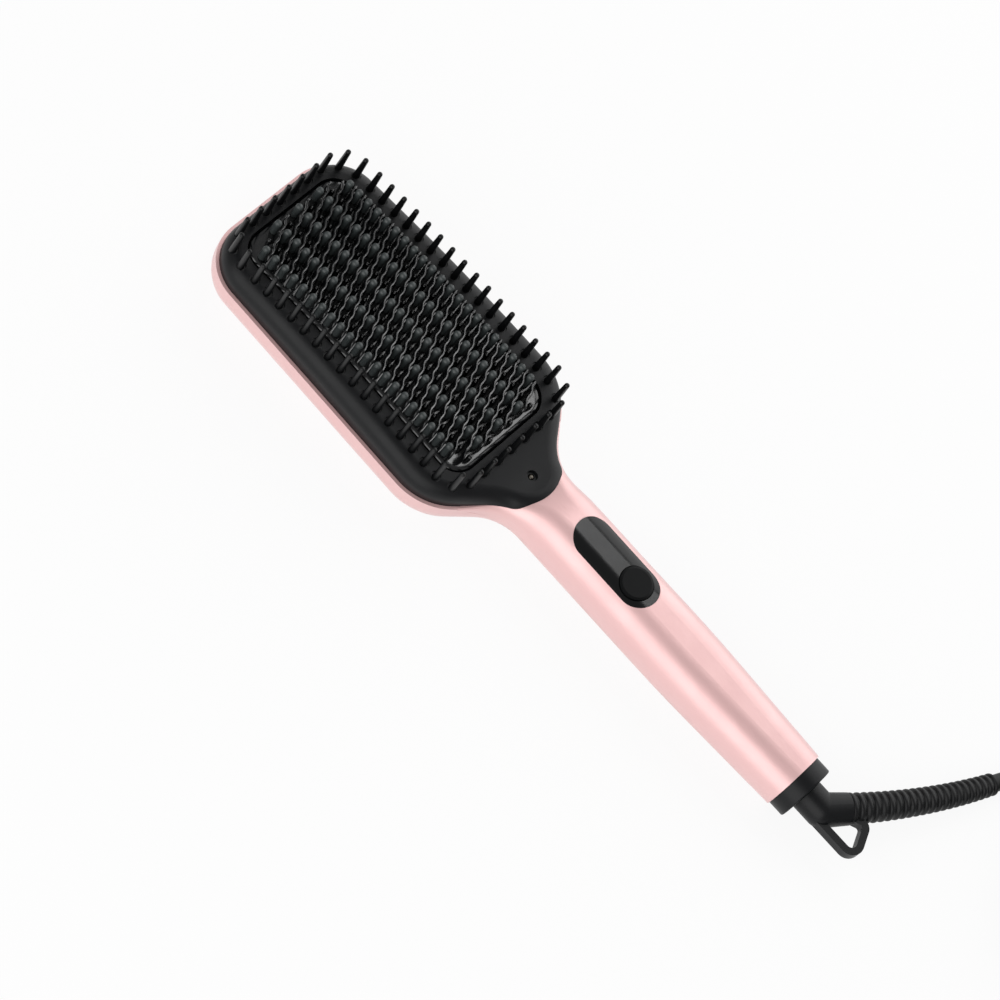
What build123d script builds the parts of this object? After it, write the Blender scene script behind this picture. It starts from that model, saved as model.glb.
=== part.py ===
import os
from math import atan2, cos, hypot, pi, radians, sin, sqrt, tan

from build123d import *

os.makedirs("parts", exist_ok=True)

# A heated paddle brush with a swivelling mains lead, lying on its back. All sizes are in mm.
# +X runs from the head to the cord, +Z is the way the pins stand, and the back lies on z = 0.

# ---------------------------------------------------------------- driving sizes: the shells
far_end_x = -67.5  # far end of the head
far_half_width = 36.0
far_corner_radius = 19.0
near_end_x = 51.5  # where the sides of the head would meet the slanted near corners
near_half_width = 38.8
near_corner_radius = 25.0
neck_x = 72.0  # where the slanted corners would meet the handle
neck_half_width = 13.4
neck_corner_radius = 20.0
grip_x = 155.0  # the handle is widest here
grip_half_width = 14.1
grip_radius = 600.0
handle_end_x = 209.5
end_half_width = 12.1
rim_height = 15.5  # top of the rear housing's rim
back_rounding = 11.0
handle_top_end = 23.0
grip_sections = 6
seam_height = 8.0  # parting line along the handle
seam_gap = 0.15
shell_wall = 2.3
lip_width = 1.3  # strip of the rear housing that shows round the face plate
rebate_depth = 1.5
plate_gap = 0.1

# ---------------------------------------------------------------- driving sizes: the face plate
deck_rise = 10.8  # middle of the deck above the rim
deck_radius = 625.0  # the deck is arched along X
shoulder_radius = 6.2
plate_wall = 2.0
deck_end_x = 53.0  # where the arch gives way to the tongue
saddle_x = 70.0
saddle_rise = 6.6
tongue_tip_x = 82.0
tongue_tip_rise = 8.4
neck_slope = ((60.0, 0.0), (66.0, 1.4), (72.0, 3.9), (79.0, 7.0), (85.0, 8.9), (91.0, 9.7))
neck_edge_radii = (1.2, 2.5, 5.5, 8.5, 10.2, 10.8)
ion_outlet_x = 69.0
ion_outlet_diameter = 4.2
ion_outlet_depth = 1.2

# ---------------------------------------------------------------- driving sizes: heater
heater_x = -3.0
heater_length = 112.0
heater_width = 50.6
heater_corner = 9.0
heater_gap = 0.4
heater_bottom = 18.6
heater_flange = 1.4
heater_flange_thickness = 0.8  # clear of the pin carrier above it
fin_count = 25
fin_pitch = 4.7
row_pitch = 10.75  # from one row of domed tips to the next
lattice_x = -1.7  # the middle fin crosses the middle row of tips here
fin_half_steps = 5  # steps that a fin takes to either side of the middle row
fin_thickness = 1.2
fin_height = 6.4
fin_root = 1.0  # the fins are rooted this far above the heater's pocket
fin_end_margin = 2.8
fin_side_margin = 1.6
tip_diameter = 2.8
tip_height = 7.5
tip_stem_diameter = 1.5
tip_stem_length = 2.0
tip_stem_gap = 0.05
tip_foot_gap = 0.2
stud_diameter = 1.9
stud_height = 3.6
heater_pocket_height = 2.2
heater_pocket_length = 100.0
heater_pocket_width = 40.0
element_length = 84.0
element_width = 15.0
element_thickness = 4.0
element_spacing = 18.0
mica_thickness = 0.6
clamp_thickness = 1.0
clamp_length = 94.0
clamp_width = 35.0
clamp_screw_x = 44.5
clamp_screw_diameter = 3.0
clamp_screw_length = 5.0
clamp_screw_head = (5.6, 2.0)
clamp_slot_width = 3.0
screw_gap = 0.1
tray_height = 6.0
tray_wall = 5.0
tray_screw_x = 44.0
tray_screw_y = 29.6
tray_boss_diameter = 4.8
tray_screw_diameter = 2.6
tray_screw_length = 6.5
tray_screw_head = (5.0, 1.8)
tray_margin = 0.3
tray_ear_margin = 1.0
tray_ear_thickness = 2.0
boss_diameter = 5.4
fuse_diameter = 3.4
fuse_length = 10.0
fuse_lead_diameter = 0.8
fuse_x = -18.0
sensor_diameter = 3.0
sensor_length = 6.0
sensor_lead_diameter = 0.7
sensor_lead_spacing = 1.2
sensor_x = 14.0
shield_length = 112.0
shield_width = 54.0
shield_corner = 8.0
shield_thickness = 0.6
shield_height = 6.5
shield_post_x = 46.0
shield_post_y = 20.0
shield_post_diameter = 6.0

# ---------------------------------------------------------------- driving sizes: outer pins
pin_row_x = 0.5
pin_row_y = 29.8
pin_row_half_length = 46.7
pins_per_row = 16
pin_far_x = -62.8
pin_near_x = 57.4
pin_corner = 9.8
pins_far = 11
pins_near = 9
pin_root_diameter = 2.6
pin_tip_diameter = 2.0
pin_height = 12.3
pin_hole_gap = 0.1
pin_recess_diameter = 4.0
pin_recess_depth = 0.5
carrier_thickness = 1.8
carrier_margin = 2.5
carrier_gap = 0.05
pin_overlap = 0.3  # a pin starts this far above the carrier's underside

# ---------------------------------------------------------------- driving sizes: controls
lens_x = 92.0
lens_length = 39.1
lens_width = 16.4
lens_thickness = 1.4
lens_gap = 0.1
lens_ledge = 1.0
button_x = 121.7
button_diameter = 12.8
button_gap = 0.3
button_travel = 0.7
button_proud = 0.5
lug_length = 14.3
lug_width = 4.0
lug_thickness = 0.8
board_top = 17.4
board_thickness = 1.6
board_start_x = 86.0
board_length = 66.0
board_width = 16.0
board_screw_inset = 3.0
board_screw_y = 5.0
board_screw_diameter = 2.0
board_screw_length = 4.5
board_screw_head = (3.6, 1.3)
board_boss_diameter = 4.0
chip_size = 7.0
chip_height = 1.4
connector_length = 4.0
connector_width = 9.0
switch_size = 6.0
switch_height = 3.0
switch_floor_gap = 0.3
plunger_diameter = 3.2
plunger_proud = 1.1
display_x = 105.0
display_length = 16.0
display_width = 11.0
display_height = 4.8
power_board_x = 157.0
power_board_length = 42.0
power_board_width = 13.0
power_board_height = 5.0
relay_length = 4.6
relay_width = 10.0
relay_height = 5.0
film_capacitor_length = 13.0
film_capacitor_width = 6.0
film_capacitor_height = 8.4
capacitor_diameter = 8.0
capacitor_height = 9.0
rib_thickness = 1.6
rib_inset = 3.0
rib_margin = 1.5
generator_x = 107.0
generator_length = 26.0
generator_width = 12.5
generator_depth = 9.0
generator_height = 4.2

# ---------------------------------------------------------------- driving sizes: swivel and cord
axis_height = 11.5
collar_length = 6.6
collar_diameter = 22.9
spigot_length = 8.0
spigot_diameter = 16.6
spigot_gap = 0.1
spindle_diameter = 8.8
spindle_end_x = 183.5
ring_seat_x = 197.5
ring_seat_diameter = 8.0
slip_ring_diameter = 9.6
slip_ring_width = 3.0
slip_ring_first_x = 186.5
slip_ring_pitch = 5.6
clip_x = 199.9
clip_width = 1.1
clip_diameter = 13.0
clip_groove_diameter = 7.4
contact_base_height = 3.2
contact_base_thickness = 1.8
contact_base_width = 9.0
contact_post_width = 1.6
leaf_width = 2.0
leaf_thickness = 0.4
leaf_foot = 4.0
leaf_contact = 1.2
spindle_gap = 0.06
face_gap = 0.35
elbow_neck_diameter = 12.7
elbow_arm_diameter = 11.8
elbow_corner_x = 224.1
elbow_angle = 53.0
elbow_arm_length = 10.2
loop_bar = 2.8
loop_depth = 4.2
loop_corners = ((219.5, -5.8), (247.0, -5.8), (239.6, 10.6), (227.0, 5.0))
loop_corner_radii = (0.5, 5.0, 4.0, 0.5)
sleeve_length = 62.0
sleeve_root_diameter = 11.7
sleeve_mouth_diameter = 8.4
sleeve_bend = 15.5
sleeve_drop = 6.3
rib_pitch = 2.9
rib_width = 1.5
rib_depth = 0.7
cord_diameter = 6.5
cord_lead_in = (5.5, 14.0, 3.75)  # second point of the cord's route, in plan from the sleeve's mouth
cord_approach = ((-44.55, 24.75, 3.3), (-23.5, 43.0, 3.25))  # the next points, in plan from the coil
coil_outer_turn = 49.0  # radius of the outermost turn, to the middle of the cord
coil_lower_turns = 3.375  # the lower layer winds inwards, then the cord climbs for one turn
coil_upper_turns = 3.0  # and the upper layer winds outwards
coil_centre = (329.5, 70.0)
coil_corner = 1.15
tie_width = 12.0
tie_thickness = 0.8
tie_angle = 40.0
tail_route = ((0.0, -8.0, 9.95), (-1.0, -24.0, 10.1), (-6.0, -40.0, 7.3), (-8.0, -52.0, 6.85))
cord_bend_share = 0.45  # of a straight run that a bend may take up
plug_length = 36.0
plug_width = 26.0
plug_thickness = 13.7
plug_neck_length = 16.0
plug_neck_flare = 1.5
plug_shoulder_share = 0.62
plug_shoulder_thickness = 12.3
plug_corner = 5.5
plug_neck_diameter = 9.0
plug_pin_diameter = 4.0
plug_pin_length = 19.0
plug_pin_spacing = 18.6

# ---------------------------------------------------------------- driving sizes: ion outlet and wires
emitter_foot = 10.5
emitter_diameter = 5.0
emitter_tip_diameter = 2.2
emitter_tip_proud = 0.4
lead_diameter = 1.8
lead_side = 9.0
lead_height = 14.1
lead_low_height = 11.2
lead_entry_y = 2.8
lead_bend = 2.5
lead_drop = 6.0  # run over which a lead changes height
mains_lead_bend = 1.2
ribbon_width = 6.0
ribbon_thickness = 0.8
ribbon_bend = 1.0
soft_edge = 0.8  # rounding of the larger inner mouldings
fine_edge = 0.6


def across(x, z=axis_height, y=0.0):
    """A plane square to the handle at x, with its sketch axes along Y and Z."""
    return Plane(origin=(x, y, z), x_dir=(0, 1, 0), z_dir=(1, 0, 0))


def corners(x, half_length, half_width):
    """The four corners of a rectangle about (x, 0)."""
    return [(x + i * half_length, j * half_width) for i in (-1, 1) for j in (-1, 1)]


def at_height(spots, z):
    """Flat spots lifted to a height."""
    return [(x, y, z) for x, y in spots]


def save(piece, name):
    """Label a finished piece and write it."""
    piece.label = name
    export_step(piece, f"parts/{name}.step")


def corner_arc(before, corner, after, radius):
    """Where the rounding of a corner starts and ends along X, its centre and its side (1 is hollow)."""
    arriving = atan2(corner[1] - before[1], corner[0] - before[0])
    leaving = atan2(after[1] - corner[1], after[0] - corner[0])
    side = 1 if leaving > arriving else -1
    reach = radius * tan(abs(leaving - arriving) / 2)
    start_x = corner[0] - reach * cos(arriving)
    end_x = corner[0] + reach * cos(leaving)
    centre_x = start_x - side * radius * sin(arriving)
    centre_y = corner[1] - reach * sin(arriving) + side * radius * cos(arriving)
    return start_x, end_x, centre_x, centre_y, side


edge_corners = (
    (near_end_x, near_half_width),
    (neck_x, neck_half_width),
    (grip_x, grip_half_width),
    (handle_end_x, end_half_width),
)
neck_arc = corner_arc(*edge_corners[:3], neck_corner_radius)
grip_arc = corner_arc(*edge_corners[1:], grip_radius)


def half_width(x):
    """Half the width of the housing's plan at x, from the slanted corners to the tail."""
    for arc, radius in ((neck_arc, neck_corner_radius), (grip_arc, grip_radius)):
        start_x, end_x, centre_x, centre_y, side = arc
        if start_x < x < end_x:
            return centre_y - side * sqrt(radius**2 - (x - centre_x) ** 2)
    for (x1, y1), (x2, y2) in zip(edge_corners, edge_corners[1:]):
        if x <= x2:
            return y1 + (y2 - y1) * (x - x1) / (x2 - x1)


def plan(inset=0.0):
    """Plan of the whole housing, drawn in by inset."""
    corners = ((far_end_x, far_half_width), *edge_corners)
    radii = (far_corner_radius, near_corner_radius, neck_corner_radius, grip_radius)
    with BuildSketch() as outline:
        with BuildLine():
            Polyline(*corners, *[(x, -y) for x, y in reversed(corners)], close=True)
        make_face()
        for (x, _), radius in zip(corners, radii):
            fillet(outline.vertices().filter_by_position(Axis.X, x - 1, x + 1), radius)
        if inset > 0:
            offset(amount=-inset)
    return outline.sketch


def plate_plan(inset=0.0):
    """Plan of the face plate: the housing's plan inside its lip, with a round tongue."""
    lip = lip_width + plate_gap
    inside = plan(lip + inset)
    _, _, neck_centre_x, neck_centre_y, _ = neck_arc
    hollow = neck_corner_radius + lip
    reach = tongue_tip_x - neck_centre_x
    tongue_radius = (reach**2 + neck_centre_y**2 - hollow**2) / (2 * (reach + hollow))
    tongue_middle = tongue_tip_x - tongue_radius
    touch_share = (tongue_radius - inset) / (hollow + tongue_radius)
    with BuildSketch() as outline:
        with Locations((tongue_middle + touch_share * (neck_centre_x - tongue_middle), 0)):
            Rectangle(handle_end_x, 3 * near_half_width, align=(Align.MAX, Align.CENTER))
        add(inside, mode=Mode.INTERSECT)
        with Locations((tongue_middle, 0)):
            Circle(tongue_radius - inset)
    return outline.sketch


def deck_height(x, drop=0.0):
    """Height of the arched deck at x, or of a surface that lies drop below it."""
    centre = rim_height + deck_rise - deck_radius
    return centre + sqrt((deck_radius - drop) ** 2 - x**2)


def under_deck(drop=0.0):
    """All that lies under the deck and the tongue, less drop."""
    left = far_end_x - 5
    right = tongue_tip_x + 5
    side = 2 * near_half_width
    with BuildPart() as region:
        with BuildSketch(Plane.XZ.offset(-side)):
            with BuildLine():
                arch = ThreePointArc(
                    (left, deck_height(left, drop)),
                    (0, deck_height(0, drop)),
                    (deck_end_x, deck_height(deck_end_x, drop)),
                )
                saddle = Spline(
                    arch @ 1,
                    (saddle_x, rim_height + saddle_rise - drop),
                    (tongue_tip_x, rim_height + tongue_tip_rise - drop),
                    (right, rim_height + tongue_tip_rise + 0.9 - drop),
                    tangents=(arch % 1, (1, 0.2)),
                )
                Polyline(saddle @ 1, (right, -5), (left, -5), arch @ 0)
            make_face()
        extrude(amount=2 * side)
    return region.part


def crown(inset=0.0):
    """The domed form of the face plate, drawn in by inset on every side."""
    outline = plate_plan(inset)
    ceiling = under_deck(inset)
    with BuildPart() as form:
        with BuildSketch(Plane.XY.offset(rim_height - rebate_depth)):
            add(outline)
        extrude(amount=deck_rise + rebate_depth + 1)
        add(ceiling, mode=Mode.INTERSECT)
        roof = form.faces().filter_by(lambda face: face.normal_at().Z > 0.5)
        shared = form.edges().filter_by_position(Axis.X, deck_end_x - 0.05, deck_end_x + 0.05)
        fillet(roof.edges() - shared, shoulder_radius - inset)
    return form.part


def seam_region(clearance):
    """What lies below the parting line between the rear housing and the handle cover."""
    first = neck_slope[0][0]
    with BuildPart() as region:
        with BuildSketch(Plane.XZ.offset(-2 * near_half_width)):
            with BuildLine():
                Polyline(
                    (far_end_x - 5, -5),
                    (far_end_x - 5, 2 * rim_height),
                    (first - clearance, 2 * rim_height),
                    (first - clearance, rim_height),
                    (neck_x - clearance, seam_height - clearance),
                    (handle_end_x + 5, seam_height - clearance),
                    (handle_end_x + 5, -5),
                    close=True,
                )
            make_face()
        extrude(amount=4 * near_half_width)
    return region.part


def handle_top(x):
    """Height of the handle's top at x."""
    first_x, first_rise = neck_slope[-1]
    share = (x - first_x) / (handle_end_x - first_x)
    return (1 - share) * (rim_height + first_rise) + share * handle_top_end


def handle_loft(stations, inset, smooth):
    """A bar lofted through the handle's sections at the stations, drawn in by inset."""
    with BuildPart() as form:
        for x, place, top, radius in stations:
            with BuildSketch(across(place, top / 2)) as section:
                Rectangle(2 * (half_width(x) - inset), top - 2 * inset)
                fillet(section.vertices().group_by(Axis.Y)[-1], max(radius - inset, 0.8))
                fillet(section.vertices().group_by(Axis.Y)[0], back_rounding - inset)
        loft(ruled=not smooth)
    return form.part


def neck_form(inset=0.0, overshoot=0.0):
    """The slope of the neck up to the handle, drawn in by inset."""
    stations = []
    for (x, rise), radius in zip(neck_slope, neck_edge_radii):
        place = x - overshoot if x == neck_slope[0][0] else x
        stations.append((x, place, rim_height + rise, radius))
    return handle_loft(stations, inset, smooth=True)


def grip_form(inset=0.0, overshoot=0.0):
    """The tapered handle from the neck to its tail, drawn in by inset."""
    first_x = neck_slope[-1][0]
    radius = neck_edge_radii[-1]
    run = handle_end_x - first_x
    places = [first_x + k * run / grip_sections for k in range(grip_sections + 1)]
    stations = [(x, x, handle_top(x), radius) for x in places[:-1]]
    stations.append((handle_end_x, handle_end_x + overshoot, handle_top_end, radius))
    return handle_loft(stations, inset, smooth=True)


def heater_plan(margin=0.0):
    """Plan of the heater plate, grown by margin."""
    with BuildSketch() as outline:
        with Locations((heater_x, 0)):
            RectangleRounded(
                heater_length + 2 * margin, heater_width + 2 * margin, heater_corner + margin
            )
    return outline.sketch


def in_heater(x, y, margin):
    """Whether a point lies inside the heater plate's plan by at least margin."""
    dx = abs(x - heater_x) - (heater_length / 2 - heater_corner)
    dy = abs(y) - (heater_width / 2 - heater_corner)
    if dx > 0 and dy > 0:
        return hypot(dx, dy) < heater_corner - margin
    return dx < heater_corner - margin and dy < heater_corner - margin


def pin_points():
    """Where the outer pins stand: two straight rows and a curve of pins round each end."""
    pitch = 2 * pin_row_half_length / (pins_per_row - 1)
    points = []
    for side in (-1, 1):
        for i in range(pins_per_row):
            points.append((pin_row_x - pin_row_half_length + i * pitch, side * pin_row_y))
    for end_x, side, count in ((pin_far_x, -1, pins_far), (pin_near_x, 1, pins_near)):
        row_x = pin_row_x + side * pin_row_half_length
        with BuildLine() as curve:
            FilletPolyline(
                (row_x, -pin_row_y), (end_x, -pin_row_y), (end_x, pin_row_y), (row_x, pin_row_y),
                radius=pin_corner,
            )
        for i in range(count):
            point = curve.line @ ((i + 1) / (count + 1))
            points.append((point.X, point.Y))
    return points


def pin_places(drop=0.0):
    """Where the outer pins cross the deck, or drop below it."""
    return [(x, y, deck_height(x) - drop) for x, y in pin_points()]


def pill(margin=0.0):
    """Plan of the control window in the handle, grown by margin."""
    with BuildSketch(Plane.XY.offset(board_top)) as outline:
        with Locations((lens_x + lens_length / 2, 0)):
            SlotOverall(lens_length + 2 * margin, lens_width + 2 * margin)
    return outline.sketch


def channel_points(shift):
    """Points midway between two fins: the rows of tips, or the rows of studs with a shift of 0.5."""
    points = []
    for i in range(-fin_count, fin_count):
        for j in range(-2, 3):
            point = (lattice_x + (i + 0.5 - shift) * fin_pitch, (j + shift) * row_pitch)
            if in_heater(*point, fin_end_margin):
                points.append(point)
    return points


def layer(outline, low, high):
    """An outline raised between two heights."""
    with BuildPart() as slab:
        with BuildSketch(Plane.XY.offset(low)):
            add(outline)
        extrude(amount=high - low)
    return slab.part


def wire_run(points, radius, diameter):
    """A round wire along rounded straight runs."""
    with BuildPart() as wire:
        with BuildLine() as path:
            FilletPolyline(*points, radius=radius)
        with BuildSketch(Plane(origin=path.line @ 0, z_dir=path.line % 0)):
            Circle(diameter / 2)
        sweep(path=path.line)
    return wire.part


# ---------------------------------------------------------------- shells
overshoot = 2.0
upright = (Align.CENTER, Align.CENTER, Align.MIN)
hanging = (Align.CENTER, Align.CENTER, Align.MAX)
spigot_hole = spigot_diameter + 2 * spigot_gap
board_middle = board_start_x + board_length / 2
board_screw_spots = corners(board_middle, board_length / 2 - board_screw_inset, board_screw_y)
tray_screw_spots = corners(heater_x, tray_screw_x, tray_screw_y)
clamp_screw_spots = [(heater_x - clamp_screw_x, 0), (heater_x + clamp_screw_x, 0)]
housing_outline = plan()
housing_inner = plan(shell_wall)
rebate_outline = plan(lip_width)
lower_region = seam_region(0)
cover_region = seam_region(-seam_gap)

with BuildPart() as housing_hollow:
    with BuildSketch(Plane.XY.offset(shell_wall)):
        add(housing_inner)
    extrude(amount=2 * rim_height)
    hollow_floor = housing_hollow.faces().sort_by(Axis.Z)[0]
    fillet(hollow_floor.edges().sort_by(Axis.X)[:-1], back_rounding - shell_wall)

with BuildPart() as rear_housing:
    with BuildSketch():
        add(housing_outline)
    extrude(amount=rim_height)
    base = rear_housing.faces().sort_by(Axis.Z)[0]
    fillet(base.edges().sort_by(Axis.X)[:-1], back_rounding)
    add(housing_hollow.part, mode=Mode.SUBTRACT)
    with BuildSketch(Plane.XY.offset(rim_height - rebate_depth)):
        add(rebate_outline)
    extrude(amount=2 * rebate_depth, mode=Mode.SUBTRACT)
    add(lower_region, mode=Mode.INTERSECT)
    with BuildSketch(across(handle_end_x)):
        Circle(spigot_hole / 2)
    extrude(amount=-2 * shell_wall, mode=Mode.SUBTRACT)
    post_foot = Plane.XY.offset(shell_wall / 2)
    with BuildSketch(post_foot):
        with Locations(*corners(0, shield_post_x, shield_post_y)):
            Circle(shield_post_diameter / 2)
    extrude(amount=shield_height - shell_wall / 2)
    for x, length, width, height in (
        (generator_x, generator_length, generator_width, generator_height),
        (power_board_x, power_board_length, power_board_width, power_board_height),
    ):
        rib_reach = length / 2 - rib_inset
        with BuildSketch(post_foot):
            with Locations((x - rib_reach, 0), (x + rib_reach, 0)):
                Rectangle(rib_thickness, width - 2 * rib_margin)
        extrude(amount=height - shell_wall / 2)
save(rear_housing.part, "rear_housing")

inner_neck = neck_form(shell_wall, overshoot)
inner_grip = grip_form(shell_wall, overshoot)
with BuildPart() as grip_shell:
    add(grip_form())
    add(inner_grip, mode=Mode.SUBTRACT)
under_lens = grip_form(lens_thickness)
lens_plan = pill(-lens_gap)
pocket_plan = pill()
ledge_plan = pill(-lens_ledge)
lens_floor = board_top
lens_roof = rim_height + neck_slope[-1][1] + 2

with BuildPart() as lens_pocket:
    add(layer(pocket_plan, lens_floor, lens_roof))
    add(under_lens, mode=Mode.SUBTRACT)

with BuildPart() as handle_cover:
    add(neck_form())
    add(inner_neck, mode=Mode.SUBTRACT)
    add(grip_shell.part)
    add(cover_region, mode=Mode.SUBTRACT)
    with BuildSketch(across(handle_end_x)):
        Circle(spigot_hole / 2)
    extrude(amount=-2 * shell_wall, mode=Mode.SUBTRACT)
    add(lens_pocket.part, mode=Mode.SUBTRACT)
    with BuildSketch(Plane.XY.offset(lens_floor)):
        add(ledge_plan)
    extrude(amount=lens_roof - lens_floor, mode=Mode.SUBTRACT)
    with BuildSketch(Plane.XY.offset(board_top)):
        with Locations(*board_screw_spots):
            Circle(board_boss_diameter / 2)
    extrude(until=Until.NEXT)
    with BuildSketch(Plane.XY.offset(board_top)):
        with Locations(*board_screw_spots):
            Circle(board_screw_diameter / 2)
    extrude(amount=board_screw_length - board_thickness, mode=Mode.SUBTRACT)
    with BuildSketch(Plane.XY.offset(seam_height)):
        with Locations((ion_outlet_x, 0)):
            Circle(emitter_diameter / 2 + plate_gap)
    extrude(amount=rim_height, mode=Mode.SUBTRACT)
save(handle_cover.part, "handle_cover")

# ---------------------------------------------------------------- face plate
crown_inner = crown(plate_wall)
neck_bed = neck_form(-plate_gap)
opening = heater_plan(heater_gap)
with BuildPart() as face_plate:
    add(crown())
    add(crown_inner, mode=Mode.SUBTRACT)
    add(neck_bed, mode=Mode.SUBTRACT)
    with BuildSketch(Plane.XY.offset(rim_height)):
        add(opening)
    extrude(amount=2 * deck_rise, mode=Mode.SUBTRACT)
    with Locations(*pin_places()):
        Cylinder(pin_root_diameter / 2 + pin_hole_gap, 6 * plate_wall, mode=Mode.SUBTRACT)
        Cylinder(pin_recess_diameter / 2, 2 * pin_recess_depth, mode=Mode.SUBTRACT)
    outlet_height = rim_height + saddle_rise
    with Locations((ion_outlet_x, 0, outlet_height)):
        Cylinder(ion_outlet_diameter / 2, 2 * ion_outlet_depth, mode=Mode.SUBTRACT)
        Cylinder(emitter_tip_diameter / 2 + plate_gap, 6 * plate_wall, mode=Mode.SUBTRACT)
save(face_plate.part, "face_plate")

# ---------------------------------------------------------------- outer pins and their carrier
carrier_roof = crown(plate_wall + carrier_gap)
carrier_under = under_deck(plate_wall + carrier_thickness)
carrier_length = pin_near_x - pin_far_x + 2 * carrier_margin
carrier_width = 2 * (pin_row_y + carrier_margin)
ear_top = heater_bottom - tray_height + tray_ear_thickness
with BuildPart() as pin_carrier:
    with BuildSketch(Plane.XY.offset(rim_height)):
        with Locations(((pin_near_x + pin_far_x) / 2, 0)):
            RectangleRounded(carrier_length, carrier_width, pin_corner + carrier_margin)
        add(opening, mode=Mode.SUBTRACT)
    extrude(amount=2 * deck_rise)
    add(carrier_roof, mode=Mode.INTERSECT)
    add(carrier_under, mode=Mode.SUBTRACT)
    with BuildSketch(Plane.XY.offset(ear_top)):
        with Locations(*tray_screw_spots):
            Circle(tray_boss_diameter / 2)
    extrude(until=Until.NEXT)
    with BuildSketch(Plane.XY.offset(ear_top)):
        with Locations(*tray_screw_spots):
            Circle(tray_screw_diameter / 2)
    extrude(amount=tray_screw_length - tray_ear_thickness + screw_gap, mode=Mode.SUBTRACT)
save(pin_carrier.part, "pin_carrier")

root_length = plate_wall + carrier_thickness - pin_overlap
with BuildPart() as outer_pins:
    with Locations(*pin_places(root_length)):
        Cylinder(pin_root_diameter / 2, root_length, align=upright)
    with Locations(*pin_places()):
        Cone(
            pin_root_diameter / 2,
            pin_tip_diameter / 2,
            pin_height - pin_tip_diameter / 2,
            align=upright,
        )
        with Locations((0, 0, pin_height - pin_tip_diameter / 2)):
            Sphere(pin_tip_diameter / 2)
    add(pin_carrier.part, mode=Mode.SUBTRACT)
save(outer_pins.part, "outer_pins")

# ---------------------------------------------------------------- heater
heater_outline = heater_plan()
flange_outline = heater_plan(heater_flange)
fin_roof = under_deck(-fin_height)
under_heater_top = under_deck()
tip_points = channel_points(0)
stud_points = channel_points(0.5)

# A fin goes sideways by half its pitch from each row of tips to the next row of studs, and on.
lean = atan2(fin_pitch, row_pitch)
bend_radius = hypot(fin_pitch, row_pitch) / 8 / sin(lean)
bend_middle = Vector(-bend_radius * (1 - cos(lean)), bend_radius * sin(lean))
fin_step = Vector(-fin_pitch / 2, row_pitch / 2)
with BuildSketch() as fin:
    with BuildLine():
        for side in (-fin_thickness / 2, fin_thickness / 2):
            for k in range(-fin_half_steps, fin_half_steps):
                start = fin_step * k + Vector(side, 0)
                middle = start + fin_step * 0.5
                end = start + fin_step
                ThreePointArc(start, start + bend_middle, middle)
                ThreePointArc(middle, end - bend_middle, end)
        for k in (-fin_half_steps, fin_half_steps):
            across_fin = Vector(fin_thickness / 2, 0)
            Line(fin_step * k - across_fin, fin_step * k + across_fin)
    make_face()

fin_spots = [(lattice_x + (i - (fin_count - 1) / 2) * fin_pitch, 0) for i in range(fin_count)]
fin_floor = heater_bottom + heater_pocket_height + fin_root
with BuildPart() as fins:
    with BuildSketch(Plane.XY.offset(fin_floor)):
        with Locations(*fin_spots):
            add(fin.sketch)
        with Locations((heater_x, 0)):
            RectangleRounded(
                heater_length - 2 * fin_end_margin,
                heater_width - 2 * fin_side_margin,
                heater_corner - fin_side_margin,
                mode=Mode.INTERSECT,
            )
    extrude(amount=2 * deck_rise)
    add(fin_roof, mode=Mode.INTERSECT)

stud_roof = under_deck(-stud_height)
with BuildPart() as studs:
    with BuildSketch(Plane.XY.offset(fin_floor)):
        with Locations(*stud_points):
            Circle(stud_diameter / 2)
    extrude(amount=2 * deck_rise)
    add(stud_roof, mode=Mode.INTERSECT)

element_top = heater_bottom + heater_pocket_height
element_bottom = element_top - element_thickness
mica_bottom = element_bottom - mica_thickness
clamp_bottom = mica_bottom - clamp_thickness
with BuildPart() as heater_plate:
    with BuildSketch(Plane.XY.offset(heater_bottom)):
        add(heater_outline)
    extrude(amount=2 * deck_rise)
    add(under_heater_top, mode=Mode.INTERSECT)
    add(fins.part)
    add(studs.part)
    with BuildSketch(Plane.XY.offset(heater_bottom)):
        add(flange_outline)
    extrude(amount=heater_flange_thickness)
    with BuildSketch(Plane.XY.offset(heater_bottom)):
        with Locations((heater_x, 0)):
            Rectangle(heater_pocket_length, heater_pocket_width)
    extrude(amount=heater_pocket_height, mode=Mode.SUBTRACT)
    with BuildSketch(Plane.XY.offset(mica_bottom)):
        with Locations(*clamp_screw_spots):
            Circle(boss_diameter / 2)
    extrude(amount=element_top - mica_bottom)
    with BuildSketch(Plane.XY.offset(mica_bottom)):
        with Locations(*clamp_screw_spots):
            Circle(clamp_screw_diameter / 2)
    extrude(amount=clamp_screw_length - clamp_thickness, mode=Mode.SUBTRACT)
    with Locations(*[(x, y, deck_height(x) + overshoot) for x, y in tip_points]):
        Cylinder(
            tip_stem_diameter / 2 + tip_stem_gap,
            tip_stem_length + overshoot,
            align=(Align.CENTER, Align.CENTER, Align.MAX),
            mode=Mode.SUBTRACT,
        )
save(heater_plate.part, "heater_plate")

with BuildPart() as cool_tip:
    Cylinder(tip_diameter / 2, tip_height - tip_diameter / 2, align=upright)
    Cylinder(tip_stem_diameter / 2, tip_stem_length - tip_foot_gap, align=hanging)
    with Locations((0, 0, tip_height - tip_diameter / 2)):
        Sphere(tip_diameter / 2)

tip_seats = []
for x, y in tip_points:
    seat = max(deck_height(x - tip_diameter / 2), deck_height(x + tip_diameter / 2))
    tip_seats.append((x, y, seat))
with BuildPart() as cool_tips:
    with Locations(*tip_seats):
        add(cool_tip.part)
save(cool_tips.part, "cool_tips")

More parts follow.
